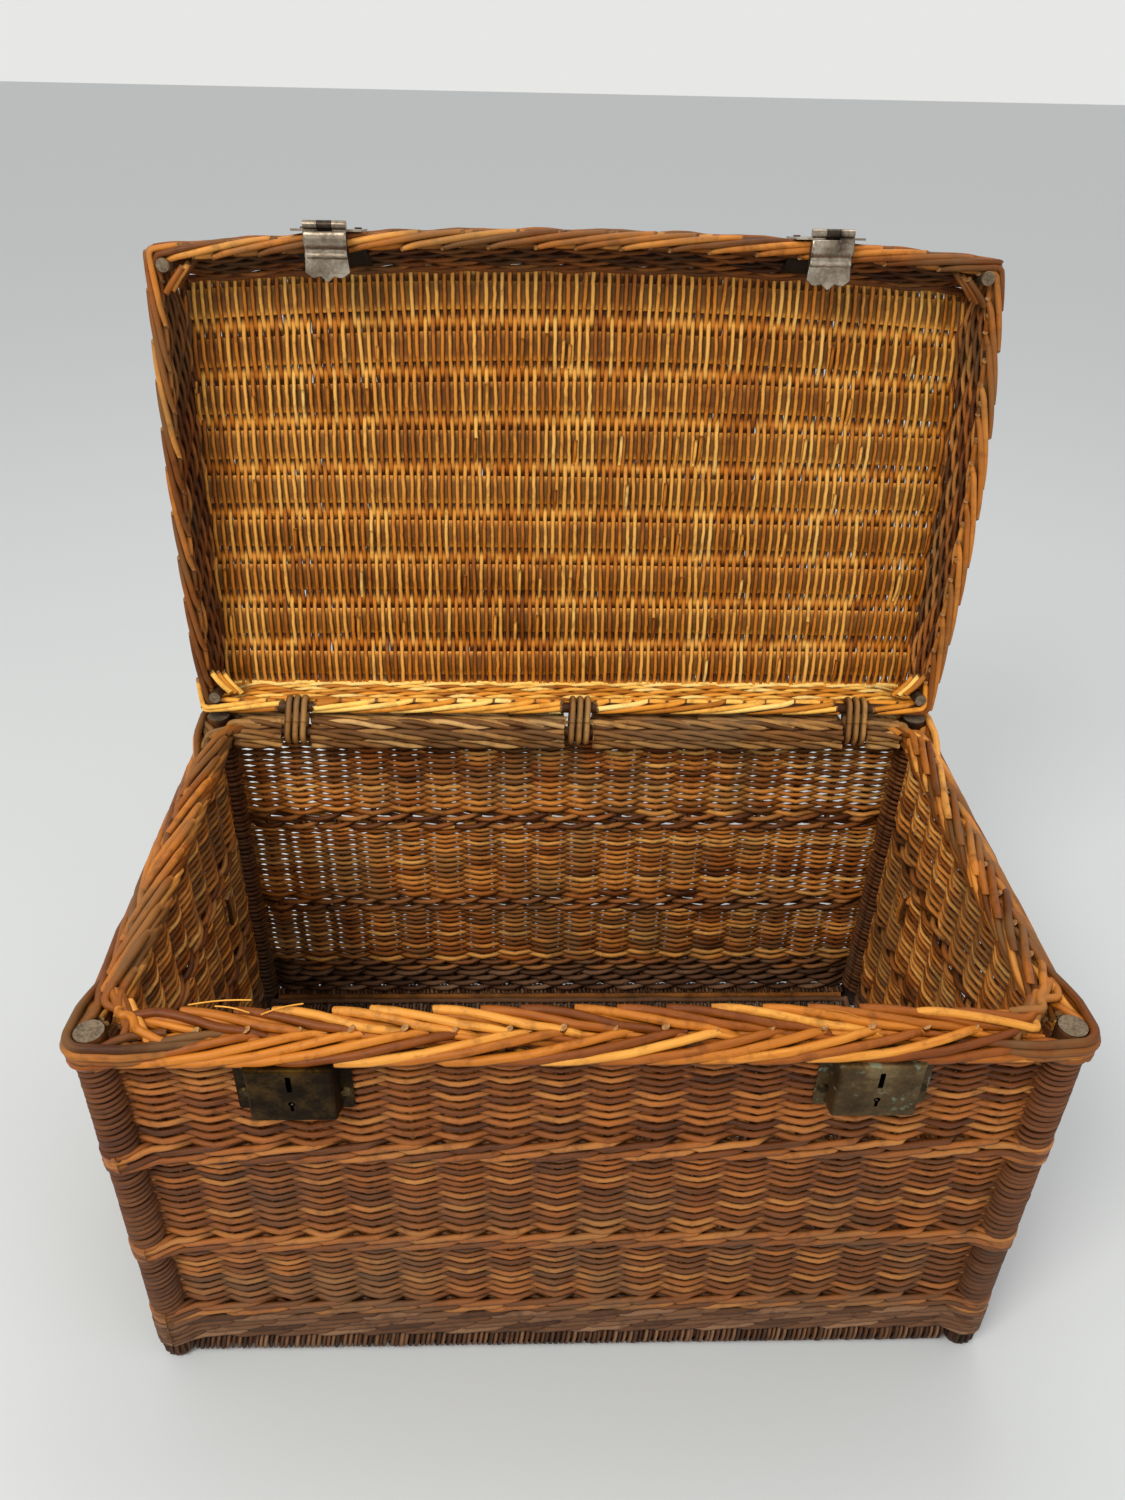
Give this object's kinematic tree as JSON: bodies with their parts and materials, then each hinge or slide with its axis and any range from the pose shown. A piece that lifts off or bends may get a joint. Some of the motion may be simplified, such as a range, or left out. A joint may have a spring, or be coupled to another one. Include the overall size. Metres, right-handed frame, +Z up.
{
  "type": "laundry basket woven",
  "caption": "Rectangular woven willow trunk basket with an arched hinged lid, hanging hasps, box locks and twisted side handles.",
  "frame": {"origin": "centre of the trunk's footprint on the floor", "axes": "+X to the viewer's right along the long side, +Y to the back where the lid is hinged, +Z up"},
  "size_m": [0.916, 0.6202, 0.9613],
  "materials": {
    "willow": "matte",
    "willow_honey": "satin",
    "willow_grey": "matte",
    "willow_gold": "satin",
    "aged_brass": "worn",
    "dark_steel": "worn",
    "black_iron": "matte"
  },
  "bodies": {
    "trunk": {"corner_posts": "willow_grey", "corner_wraps": "willow_honey", "stakes": "willow", "front_weave": "willow", "back_weave": "willow", "left_weave": "willow", "right_weave": "willow", "upper_wale": "willow", "middle_wale": "willow", "lower_wale": "willow", "foot_wale": "willow_grey", "border_front": "willow_honey", "border_back": "willow_grey", "border_left": "willow_honey", "border_right": "willow_honey", "hinge_rail": "willow", "floor_weave": "willow", "floor_sticks": "willow", "floor_edge_front": "willow_grey", "floor_edge_back": "willow_grey", "floor_edge_sticks": "willow", "floor_ends": "willow_grey", "handle_left": "willow", "handle_right": "willow", "handle_tucks": "willow", "hinge_loops_left": "willow_honey", "hinge_loops_centre": "willow_honey", "hinge_loops_right": "willow_honey", "lock_plate_left": "aged_brass", "lock_plate_right": "aged_brass", "lock_case_left": "aged_brass", "lock_case_right": "aged_brass", "lock_key_pin_left": "dark_steel", "lock_key_pin_right": "dark_steel", "lock_rivets": "aged_brass"},
    "lid": {"lid_border": "willow_honey", "lid_hinge_rod": "willow", "lid_back_wall": "willow", "lid_front_wall": "willow", "lid_left_wall": "willow", "lid_right_wall": "willow", "lid_posts": "willow", "lid_panel": "willow_gold", "lid_laths": "willow_gold", "hasp_leaf_left": "dark_steel", "hasp_leaf_right": "dark_steel", "hasp_backing_left": "black_iron", "hasp_backing_right": "black_iron", "hasp_rivets": "dark_steel"},
    "lock_bolt_left": {"lock_bolt_left": "dark_steel"},
    "lock_bolt_right": {"lock_bolt_right": "dark_steel"},
    "hasp_left": {"hasp_strap_left": "dark_steel", "hasp_staple_left": "dark_steel", "hasp_pin_left": "dark_steel"},
    "hasp_right": {"hasp_strap_right": "dark_steel", "hasp_staple_right": "dark_steel", "hasp_pin_right": "dark_steel"}
  },
  "joints": [
    {"name": "lid_hinge", "type": "hinge", "parent": "trunk", "child": "lid", "pos_m": [0, 0.229, 0.47], "axis": [1, 0, 0], "range_deg": [0, 99]},
    {"name": "hasp_left_hang", "type": "hinge", "parent": "lid", "child": "hasp_left", "pos_m": [-0.238, 0.29099, 0.9573], "axis": [1, 0, 0], "range_deg": [-99, 0]},
    {"name": "hasp_right_hang", "type": "hinge", "parent": "lid", "child": "hasp_right", "pos_m": [0.238, 0.29099, 0.9573], "axis": [1, 0, 0], "range_deg": [-99, 0]},
    {"name": "lock_bolt_left_slide", "type": "slide", "parent": "trunk", "child": "lock_bolt_left", "axis": [-1, 0, 0], "range_m": [0, 0.008]},
    {"name": "lock_bolt_right_slide", "type": "slide", "parent": "trunk", "child": "lock_bolt_right", "axis": [-1, 0, 0], "range_m": [0, 0.008]}
  ],
  "couplings": [
    {"joint": "hasp_left_hang", "follows": "lid_hinge", "ratio": -1},
    {"joint": "hasp_right_hang", "follows": "lid_hinge", "ratio": -1}
  ]
}
